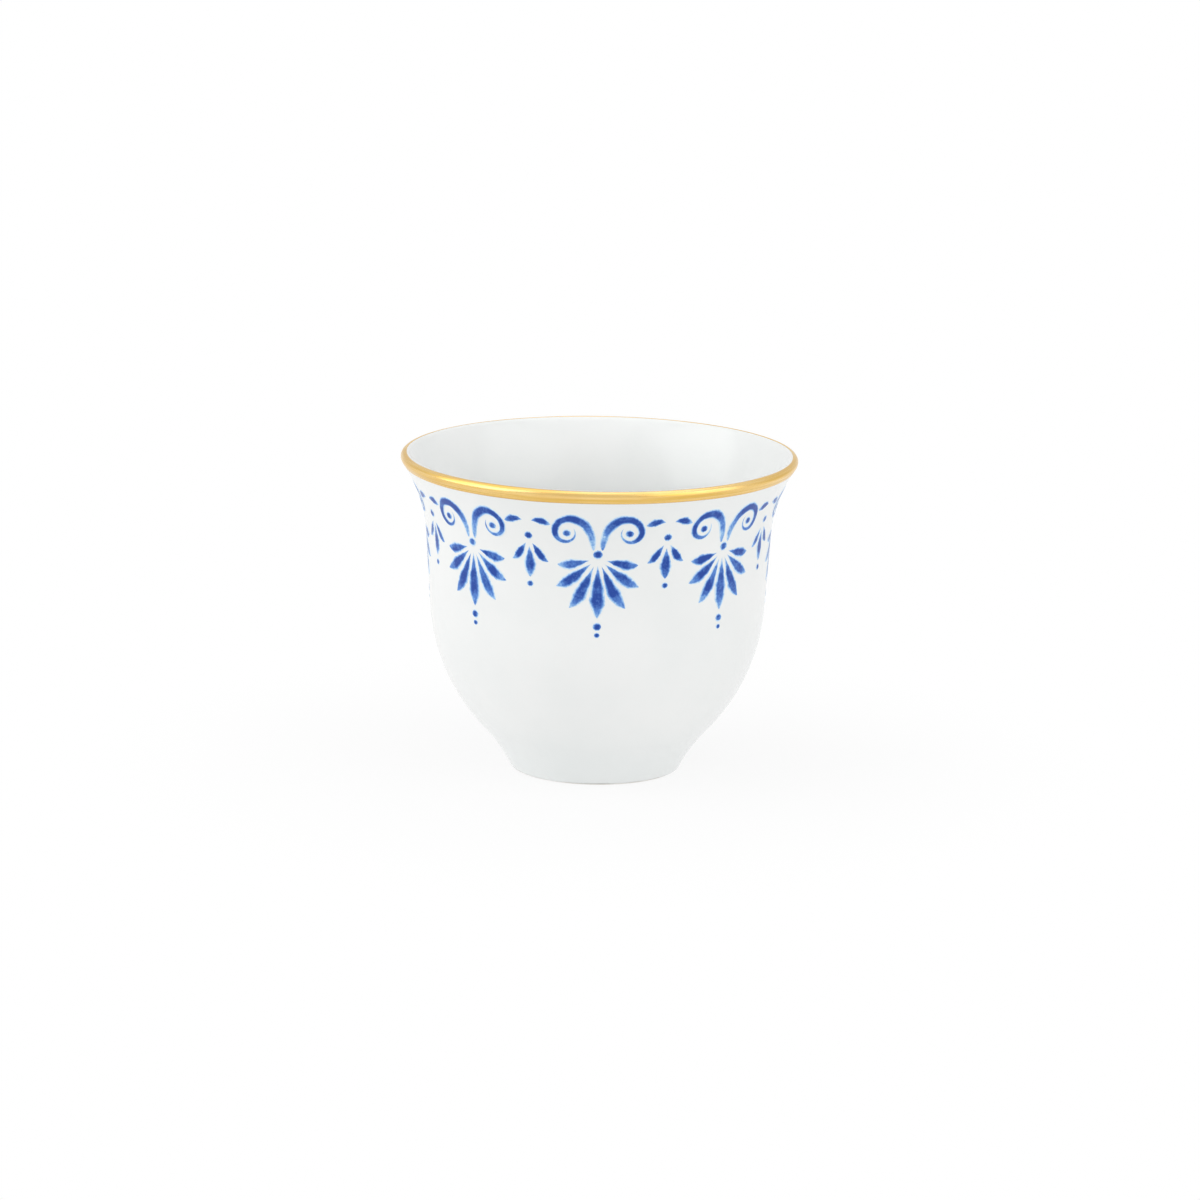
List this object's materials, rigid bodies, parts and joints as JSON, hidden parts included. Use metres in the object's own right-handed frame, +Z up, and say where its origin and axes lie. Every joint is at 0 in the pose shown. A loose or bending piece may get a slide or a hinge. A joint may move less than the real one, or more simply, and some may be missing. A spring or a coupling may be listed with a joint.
{
  "type": "arabic coffee cup",
  "caption": "Small handleless porcelain coffee cup with a flared gilded rim, a rounded bowl on a narrow foot ring and a blue palmette frieze printed outside.",
  "frame": {"origin": "on the surface the cup stands on, on the cup's axis", "axes": "+Z up along the cup's axis; a palmette of the frieze faces -Y"},
  "size_m": [0.0718, 0.0718, 0.0582],
  "materials": {
    "porcelain": "unglazed, polished foot",
    "glaze": "clear glossy glaze over white",
    "gold": "fired gold, bright, banded by brush",
    "cobalt": "cobalt blue transfer fired on the glaze"
  },
  "bodies": {
    "root": {"porcelain_body": "porcelain", "glaze_coat": "glaze", "underside_glaze": "glaze", "gold_rim_band": "gold", "blue_transfer_1": "cobalt", "blue_transfer_2": "cobalt", "blue_transfer_3": "cobalt", "blue_transfer_4": "cobalt", "blue_transfer_5": "cobalt", "blue_transfer_6": "cobalt", "blue_transfer_7": "cobalt", "blue_transfer_8": "cobalt"}
  },
  "joints": []
}
